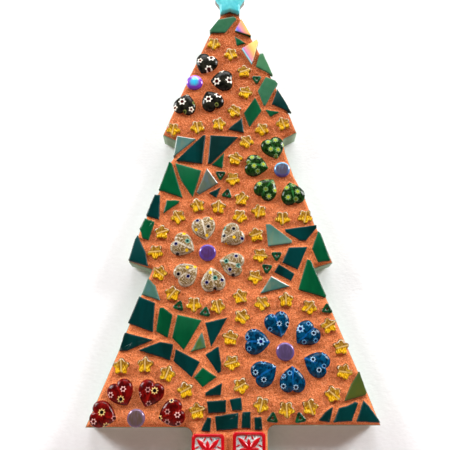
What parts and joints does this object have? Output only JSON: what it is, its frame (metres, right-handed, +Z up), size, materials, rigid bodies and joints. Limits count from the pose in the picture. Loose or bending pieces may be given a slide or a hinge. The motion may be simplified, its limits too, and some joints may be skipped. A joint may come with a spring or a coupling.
{
  "type": "mosaic panel",
  "caption": "Fir-tree shaped wall mosaic panel: cut glass, millefiori hearts and amber star beads set in terracotta grout on a painted board, topped by a ceramic star.",
  "frame": {"origin": "the mounting point on the flat back face of the board, on the panel's middle line and a little above half its height, in the plane of the wall", "axes": "-Y is the way the mosaic face looks, +Y goes into the wall, +Z is up along the tree and +X is to the right as seen from the front"},
  "size_m": [0.1405, 0.0175, 0.2651],
  "materials": {
    "painted_board": "sage green matt paint over a sawn board",
    "grout": "terracotta tinted grout, fine gritty texture",
    "teal_glass": "opaque dark teal glass, glossy",
    "green_glass": "opaque mid green glass, glossy",
    "pale_green_glass": "opaque grey-green glass, glossy",
    "iridescent_glass": "iridescent coated glass, glossy",
    "black_millefiori": "black millefiori glass with small flowers",
    "green_millefiori": "dark green millefiori glass with small flowers",
    "clear_millefiori": "smoky clear millefiori glass with small flowers",
    "blue_millefiori": "deep blue millefiori glass with small flowers",
    "red_millefiori": "dark red millefiori glass with small flowers",
    "cabochon_glass": "purple glass with an iridescent coat, glossy",
    "turquoise_ceramic": "turquoise glaze, glossy",
    "red_ceramic": "red glaze, glossy",
    "white_glaze": "white glaze mottled with red, glossy",
    "amber_glass": "clear amber glass, glossy",
    "green_bead_glass": "dark green clear glass, glossy"
  },
  "bodies": {
    "root": {"board": "painted_board", "grout_bed": "grout", "glass_tile_01": "green_glass", "glass_tile_02": "iridescent_glass", "glass_tile_03": "iridescent_glass", "glass_tile_04": "green_glass", "glass_tile_05": "green_glass", "glass_tile_06": "teal_glass", "glass_tile_07": "green_glass", "glass_tile_08": "pale_green_glass", "glass_tile_09": "teal_glass", "glass_tile_10": "teal_glass", "glass_tile_11": "green_glass", "glass_tile_12": "green_glass", "glass_tile_13": "pale_green_glass", "glass_tile_14": "teal_glass", "glass_tile_15": "teal_glass", "glass_tile_16": "green_glass", "glass_tile_17": "green_glass", "glass_tile_18": "teal_glass", "glass_tile_19": "teal_glass", "glass_tile_20": "pale_green_glass", "glass_tile_21": "teal_glass", "glass_tile_22": "green_glass", "glass_tile_23": "teal_glass", "glass_tile_24": "pale_green_glass", "glass_tile_25": "green_glass", "glass_tile_26": "green_glass", "heart_black_1": "black_millefiori", "heart_black_2": "black_millefiori", "heart_black_3": "black_millefiori", "heart_black_4": "black_millefiori", "heart_green_1": "green_millefiori", "heart_green_2": "green_millefiori", "heart_green_3": "green_millefiori", "heart_green_4": "green_millefiori", "heart_clear_1": "clear_millefiori", "heart_clear_2": "clear_millefiori", "heart_clear_3": "clear_millefiori", "heart_clear_4": "clear_millefiori", "heart_clear_5": "clear_millefiori", "heart_clear_6": "clear_millefiori", "heart_blue_1": "blue_millefiori", "heart_blue_2": "blue_millefiori", "heart_blue_3": "blue_millefiori", "heart_blue_4": "blue_millefiori", "heart_blue_5": "blue_millefiori", "heart_blue_6": "blue_millefiori", "heart_red_1": "red_millefiori", "heart_red_2": "red_millefiori", "heart_red_3": "red_millefiori", "heart_red_4": "red_millefiori", "cabochon_1": "cabochon_glass", "cabochon_2": "cabochon_glass", "cabochon_3": "cabochon_glass", "cabochon_4": "cabochon_glass", "cabochon_5": "cabochon_glass", "snowflake_tile_left": "red_ceramic", "snowflake_tile_right": "red_ceramic", "star_topper": "turquoise_ceramic"}
  },
  "joints": []
}
